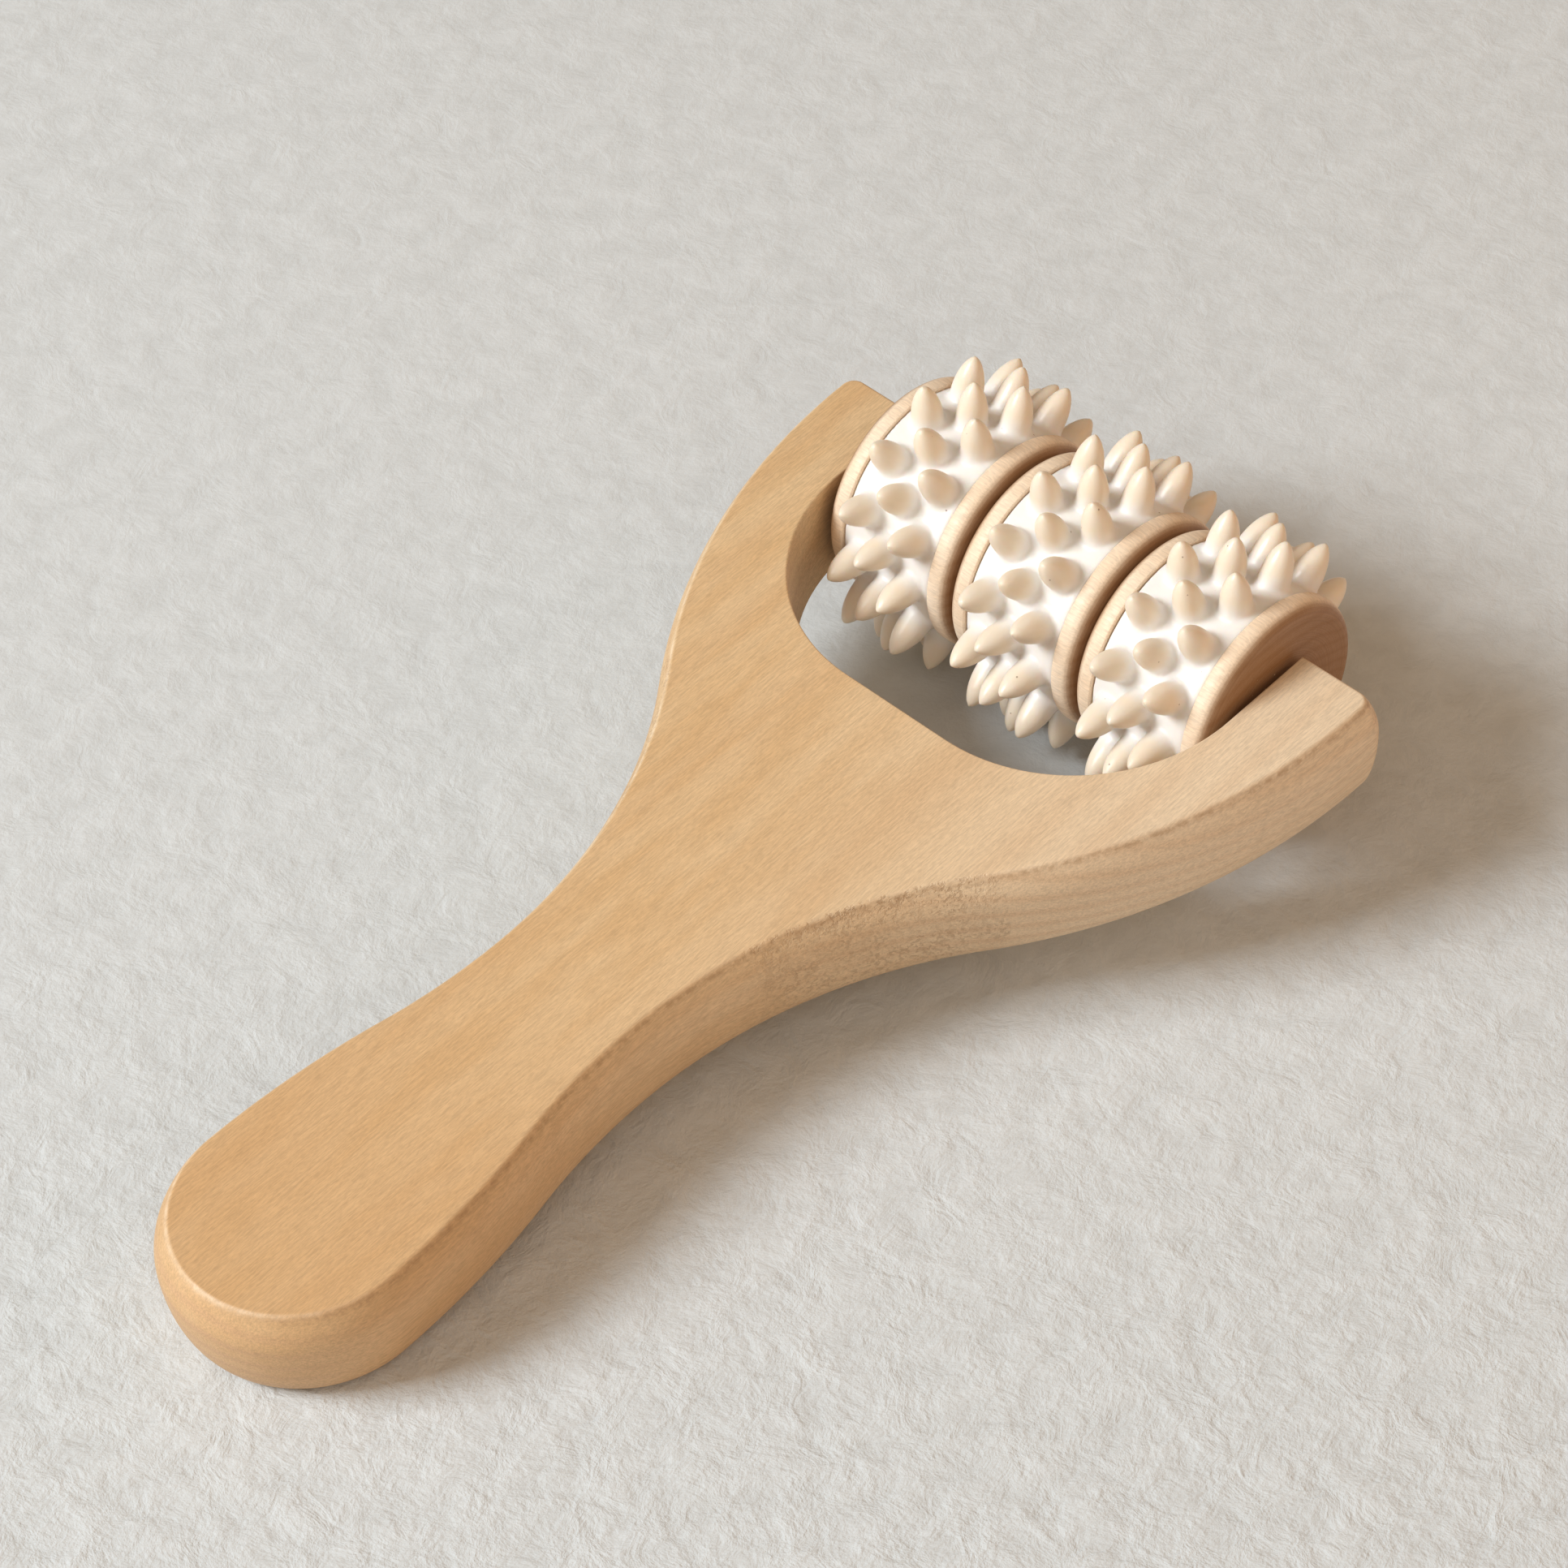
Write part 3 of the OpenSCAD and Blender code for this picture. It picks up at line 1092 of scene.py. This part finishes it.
@dataclass
class Roller:
    """One turned spool and its spiked band. Sizes are in millimetres."""

    side: Side
    rim_round: float = 2.7
    rim_above_band: float = 0.5
    flange_t: float = 4.0
    groove_depth: float = 2.5
    groove_lip: float = 0.18
    hub_share: float = 0.55
    bore_chamfer: float = 0.4
    band_ease: float = 0.35
    spike_d: float = 6.1
    blunt: float = 2.4
    fullness: float = 0.72
    spikes_per_row: int = 13
    rows: int = 3
    row_margin: float = 1.15
    flare: float = 0.30
    flare_inset: float = 0.12
    spike_root: float = 1.2
    foot_low: float = -0.3
    foot_high: float = 0.25
    foot_angle: float = 6.0
    rod_clear: float = 0.08
    skin_step: float = 0.42
    smooth_share: float = 0.5
    smooth_rounds: int = 4
    spool_steps: int = 144
    rim_points: int = 13
    band_steps: int = 156
    ease_points: int = 5
    spike_steps: int = 28
    spike_points: int = 16

    def __post_init__(self) -> None:
        """Reads the roller's place and outer sizes from the frame."""
        nodes = (f"{self.side.value}_spool", "axle_rod", f"{self.side.value}_spike_band")
        spool, rod, band = (RoundForm.of_node(name) for name in nodes)
        self.place = Vector((rod.middle.x, spool.middle.y, rod.middle.z))
        self.rod_r, self.rim_r = rod.radius, spool.radius
        self.half, self.band_half = spool.half, band.half
        self.band_r = self.rim_r - self.rim_above_band
        self.spike_h = self.place.z / MM - self.band_r
        self.row_pitch = (2 * self.band_half - self.spike_d) / 2 - self.row_margin

    def matrix(self) -> Matrix:
        """Roller frame in millimetres to the row frame in metres."""
        return Matrix.Translation(self.place) @ Matrix.Scale(MM, 4)

    def spool_profile(self) -> np.ndarray:
        """The spool's turned profile: bore, chamfer, flange face, rounded rim and groove.

        Returns:
            Closed loop of (radius, y) points.
        """
        bore_r, groove = self.rod_r + self.rod_clear, self.half - self.flange_t
        rim_c = (self.rim_r - self.rim_round, self.half - self.rim_round)
        upper = [(bore_r, 0), (bore_r, self.half - self.bore_chamfer),
                 (bore_r + self.bore_chamfer, self.half), (self.rim_r * self.hub_share, self.half)]
        for t in np.radians(np.linspace(90, 0, self.rim_points)):
            upper.append((rim_c[0] + self.rim_round * math.cos(t), rim_c[1] + self.rim_round * math.sin(t)))
        lip, floor = self.groove_lip, self.rim_r - self.groove_depth
        upper += [(self.rim_r, groove + lip), (self.rim_r - lip * 0.3, groove + lip * 0.3)]
        upper.append((self.rim_r - lip, groove))
        upper += [(floor, groove), (floor, 0)]
        return mirrored(upper)

    def spool(self, wood: Material) -> Object:
        """Makes the turned spool and puts it on its body.

        Args:
            wood: Its finish.

        Returns:
            The piece.
        """
        name = f"turned_spool_{self.side.value}"
        obj = solid(name, *lathe(self.spool_profile(), self.spool_steps), self.matrix())
        nearly_flat = 0.998
        for face in obj.data.polygons:
            face.use_smooth = abs(face.normal.y) < nearly_flat
        finish_with(obj, wood)
        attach(obj, self.side.body)
        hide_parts(f"{self.side.value}_spool")
        return obj

    def sleeve(self) -> Object:
        """Makes the band's smooth tube, with eased edges, about the axle at the origin.

        Returns:
            The tube.
        """
        ease, inner = self.band_ease, self.rim_r - self.groove_depth
        edge_r, edge_y = self.band_r - ease, self.band_half - ease
        upper = [(inner, 0), (inner, self.band_half)]
        for t in np.radians(np.linspace(90, 0, self.ease_points)):
            upper.append((edge_r + ease * math.cos(t), edge_y + ease * math.sin(t)))
        upper.append((self.band_r, 0))
        return solid("sleeve", *lathe(mirrored(upper), self.band_steps), Matrix.Scale(MM, 4))

    def spike(self) -> Object:
        """Makes one spike with a flared foot, standing along Z on a surface at z = 0.

        Returns:
            The spike.
        """
        root, flare, sunk = self.spike_d / 2 - self.flare_inset, self.flare, -self.spike_root
        line = [(0, sunk), (root + flare, sunk), (root + flare, self.foot_low)]
        line.append((root + flare * 0.4, self.foot_high))
        for t in np.radians(np.linspace(self.foot_angle, 90, self.spike_points)):
            rise = math.sin(t)
            line.append((root * (1 - rise ** self.blunt) ** self.fullness, self.spike_h * rise))
        line[-1] = (0, self.spike_h)
        stand = Matrix.Rotation(math.radians(90), 4, "X") @ Matrix.Scale(MM, 4)
        return solid("spike", *lathe(np.array(line), self.spike_steps), stand)

    def band(self, tree: Tree, rubber: Material, first: float) -> Object:
        """Makes the spiked band as one closed skin, and puts it on its body.

        Args:
            tree: The geometry node tree that sets the spikes.
            rubber: Its finish.
            first: Angle in radians of the first spike of the outer rows.

        Returns:
            The piece.
        """
        name = f"spiked_band_{self.side.value}"
        obj = link(name, bpy.data.meshes.new(name))
        sleeve, spike = self.sleeve(), self.spike()
        setter = obj.modifiers.new("spikes", "NODES")
        setter.node_group = tree
        values = {"Sleeve": sleeve, "Spike": spike, "Rows": self.rows, "Spikes Per Row": self.spikes_per_row,
                  "Row Pitch": self.row_pitch * MM, "Radius": self.band_r * MM, "First Angle": first,
                  "Place": self.place, "Seed": len(self.side.value), "Finish": rubber}
        for item in tree.interface.items_tree:
            if item.item_type == "SOCKET" and item.in_out == "INPUT" and item.name in values:
                setter[item.identifier] = values[item.name]
        skin = obj.modifiers.new("skin", "REMESH")
        skin.mode, skin.voxel_size, skin.use_smooth_shade = "VOXEL", self.skin_step * MM, True
        ease = obj.modifiers.new("ease", "SMOOTH")
        ease.factor, ease.iterations = self.smooth_share, self.smooth_rounds
        baked(obj)
        finish_with(obj, rubber)
        for helper in (sleeve, spike):
            bpy.data.objects.remove(helper)
        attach(obj, self.side.body)
        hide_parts(f"{self.side.value}_spike_band")
        return obj

    def build(self, tree: Tree, effects: Effects, turn: float) -> list[Object]:
        """Makes the spool and the band with their finishes.

        Args:
            tree: The geometry node tree that sets the spikes.
            effects: Shared node groups.
            turn: How far the roller has rolled, in degrees.

        Returns:
            The pieces.
        """
        form = RoundForm(self.place, self.rim_r, self.half)
        wood = TurnedWood().build(effects, f"spool_wood_{self.side.value}", form)
        name = f"band_elastomer_{self.side.value}"
        rubber = Elastomer().build(effects, name, self.place, self.band_r, self.spike_h)
        quarter_pitch = 90 / self.spikes_per_row
        first = math.radians(270 - quarter_pitch + turn)
        return [self.spool(wood), self.band(tree, rubber, first)]


def spike_tree(lean: float = 0.035, smallest: float = 0.965, largest: float = 0.995) -> Tree:
    """Geometry nodes that stand staggered rows of spikes on a sleeve.

    Args:
        lean: How far a spike may lean, in radians.
        smallest: Scale of the smallest spike.
        largest: Scale of the largest.

    Returns:
        The tree, with named inputs for its sizes.
    """
    tree = bpy.data.node_groups.new("spiked_band", "GeometryNodeTree")
    kinds = {"Sleeve": "Object", "Spike": "Object", "Rows": "Int", "Spikes Per Row": "Int",
             "Row Pitch": "Float", "Radius": "Float", "First Angle": "Float", "Place": "Vector",
             "Seed": "Int", "Finish": "Material"}
    for name, kind in kinds.items():
        tree.interface.new_socket(name, in_out="INPUT", socket_type=f"NodeSocket{kind}")
    tree.interface.new_socket("Geometry", in_out="OUTPUT", socket_type="NodeSocketGeometry")
    n = Nodes(tree)
    given = n.add("NodeGroupInput").outputs

    # Each point's row, angle and place. The middle row is half a step on from the outer ones.
    count = n.times(given["Rows"], given["Spikes Per Row"])
    points = n.add("GeometryNodePoints", {"Count": count}).outputs[0]
    index = n.add("GeometryNodeInputIndex").outputs[0]
    row = n.math("FLOOR", n.math("DIVIDE", n.math("ADD", index, 0.5), given["Spikes Per Row"]))
    from_middle = n.math("SUBTRACT", row, n.times(n.math("SUBTRACT", given["Rows"], 1), 0.5))
    stagger = n.times(n.math("COMPARE", from_middle, 0, 0.1), 0.5)
    step = n.math("DIVIDE", 2 * math.pi, given["Spikes Per Row"])
    angle = n.math("MULTIPLY_ADD", n.math("ADD", index, stagger), step, given["First Angle"])
    across = n.times(n.math("COSINE", angle), given["Radius"])
    up = n.times(n.math("SINE", angle), given["Radius"])
    where = n.joined(across, n.times(from_middle, given["Row Pitch"]), up)
    placed = n.add("GeometryNodeSetPosition", {"Geometry": points, "Position": where}).outputs[0]

    # Each spike stands along its radius, leans a little and has its own size.
    spread = {"Min": (-lean,) * 3, "Max": (lean,) * 3, "Seed": given["Seed"]}
    leans = n.add("FunctionNodeRandomValue", spread, data_type="FLOAT_VECTOR").outputs[0]
    upright = n.joined(0.0, n.math("SUBTRACT", math.pi / 2, angle))
    turn = n.add("FunctionNodeEulerToRotation", {0: n.vector("ADD", upright, leans)}).outputs[0]
    sizes = {2: smallest, 3: largest, "Seed": given["Seed"]}
    size = n.add("FunctionNodeRandomValue", sizes, data_type="FLOAT").outputs[1]
    shape = n.add("GeometryNodeObjectInfo", {"Object": given["Spike"]}).outputs["Geometry"]
    stand = {"Points": placed, "Instance": shape, "Rotation": turn, "Scale": size}
    spikes = n.add("GeometryNodeInstanceOnPoints", stand).outputs[0]

    # Sleeve and spikes together, moved to the roller's place.
    tube = n.add("GeometryNodeObjectInfo", {"Object": given["Sleeve"]}).outputs["Geometry"]
    real = n.add("GeometryNodeRealizeInstances", {0: spikes}).outputs[0]
    both = n.add("GeometryNodeJoinGeometry")
    for geometry in (tube, real):
        tree.links.new(geometry, both.inputs[0])
    move = {"Geometry": both.outputs[0], "Translation": given["Place"]}
    moved = n.add("GeometryNodeTransform", move).outputs[0]
    smooth = n.add("GeometryNodeSetShadeSmooth", {0: moved}).outputs[0]
    whole = n.add("GeometryNodeRealizeInstances", {0: smooth}).outputs[0]
    dressed = n.add("GeometryNodeSetMaterial", {"Geometry": whole, "Material": given["Finish"]})
    n.add("NodeGroupOutput", {0: dressed.outputs[0]})
    return tree


@dataclass
class RollerSet:
    """The three rollers on their rod, each rolled by its own angle in degrees."""

    turns: tuple[float, float, float] = (1.5, 4.8, -1.0)

    def build(self, effects: Effects) -> list[Object]:
        """Makes each spool and band.

        Args:
            effects: Shared node groups.

        Returns:
            The pieces.
        """
        tree = spike_tree()
        pieces = []
        for side, turn in zip(Side, self.turns):
            pieces += Roller(side).build(tree, effects, turn)
        bpy.data.node_groups.remove(tree)
        return pieces


@dataclass
class Axle:
    """The steel rod and the wooden plug over its end, both as the frame gives them."""

    rod: str = "axle_rod"
    plug: str = "axle_plug"
    plug_dust: Colour = (0.60, 0.38, 0.215, 1)

    def dress(self, effects: Effects) -> list[Object]:
        """Gives the rod and the plug their finishes.

        Args:
            effects: Shared node groups.

        Returns:
            The pieces.
        """
        steel = DrawnSteel().build(RoundForm.of_node(self.rod).middle)
        wood = TurnedWood(dust=self.plug_dust).build(effects, "plug_wood", RoundForm.of_node(self.plug))
        pieces = []
        for node, finish in ((self.rod, steel), (self.plug, wood)):
            pieces.append(frame["nodes"][node])
            finish_with(pieces[-1], finish)
        return pieces


# ---------------------------------------------------------------- studio


@dataclass(frozen=True)
class Lamp:
    """A soft square light that looks at the roller. Angles are in degrees, lengths in metres."""

    name: str
    heading: float
    height: float
    distance: float
    size: float
    power: float
    colour: tuple[float, float, float]

    def place(self, target: Vector) -> None:
        """Puts the light round the target.

        Args:
            target: Point that the light looks at.
        """
        light = bpy.data.lights.new(self.name, "AREA")
        light.size, light.energy, light.color = self.size, self.power, self.colour
        obj = bpy.data.objects.new(self.name, light)
        turn, rise = math.radians(self.heading), math.radians(self.height)
        level = math.cos(rise)
        towards = Vector((math.cos(turn) * level, math.sin(turn) * level, math.sin(rise)))
        obj.location = target + towards * self.distance
        obj.rotation_euler = towards.to_track_quat("Z", "Y").to_euler()
        bpy.context.scene.collection.objects.link(obj)


@dataclass
class Studio:
    """Camera, floor and lights. Places are in metres, angles in degrees."""

    camera_place: tuple[float, float, float] = (-0.42363, -0.43951, 0.66249)
    camera_turn: tuple[float, float, float] = (44.678, 0.883, -45.805)
    lens: float = 124.93
    sensor: float = 36.0
    near: float = 0.01
    far: float = 20.0
    floor_reach: float = 3.0
    lamps: tuple[Lamp, ...] = (
        Lamp("key", 146, 38, 3.0, 1.2, 94, (0.90, 0.96, 1.0)),
        Lamp("fill", 222, 42, 1.5, 1.2, 4.8, (1.0, 0.96, 0.90)),
        Lamp("warm_bounce", -50, 16, 1.2, 1.1, 3.2, (1.0, 0.52, 0.24)),
    )
    sky: tuple[float, float, float] = (1.0, 0.70, 0.43)
    sky_strength: float = 0.28

    def camera(self) -> None:
        """Makes the camera and makes it the scene's own."""
        camera = bpy.data.cameras.new("camera")
        camera.lens, camera.sensor_width = self.lens, self.sensor
        camera.clip_start, camera.clip_end = self.near, self.far
        obj = bpy.data.objects.new("camera", camera)
        obj.location = self.camera_place
        obj.rotation_euler = [math.radians(a) for a in self.camera_turn]
        bpy.context.scene.collection.objects.link(obj)
        bpy.context.scene.camera = obj

    def floor(self) -> None:
        """Makes the plaster floor that the roller lies on."""
        reach, low = self.floor_reach, cad_box[0][2]
        corners = [(-reach, -reach, low), (reach, -reach, low), (reach, reach, low), (-reach, reach, low)]
        mesh = bpy.data.meshes.new("floor")
        mesh.from_pydata(corners, [], [(0, 1, 2, 3)])
        floor = link("floor", mesh)
        finish_with(floor, Plaster().build())

    def build(self) -> None:
        """Makes the whole studio."""
        self.camera()
        self.floor()
        middle = (Vector(cad_box[0]) + Vector(cad_box[1])) / 2
        for lamp in self.lamps:
            lamp.place(middle)
        world = bpy.data.worlds.new("studio")
        world.use_nodes = True
        background = world.node_tree.nodes["Background"]
        background.inputs["Color"].default_value = (*self.sky, 1)
        background.inputs["Strength"].default_value = self.sky_strength
        scene = bpy.context.scene
        scene.world = world
        scene.view_settings.view_transform = "Standard"


def main() -> None:
    """Builds the studio and the roller."""
    logging.basicConfig(level=logging.INFO, format="%(message)s")
    seat = Seat.from_frame()
    Studio().build()
    effects = Effects()
    pieces = [HandleYoke(seat).build(HandleWood().build(effects, seat))]
    pieces += RollerSet().build(effects)
    pieces += Axle().dress(effects)


if __name__ == "__main__":
    main()
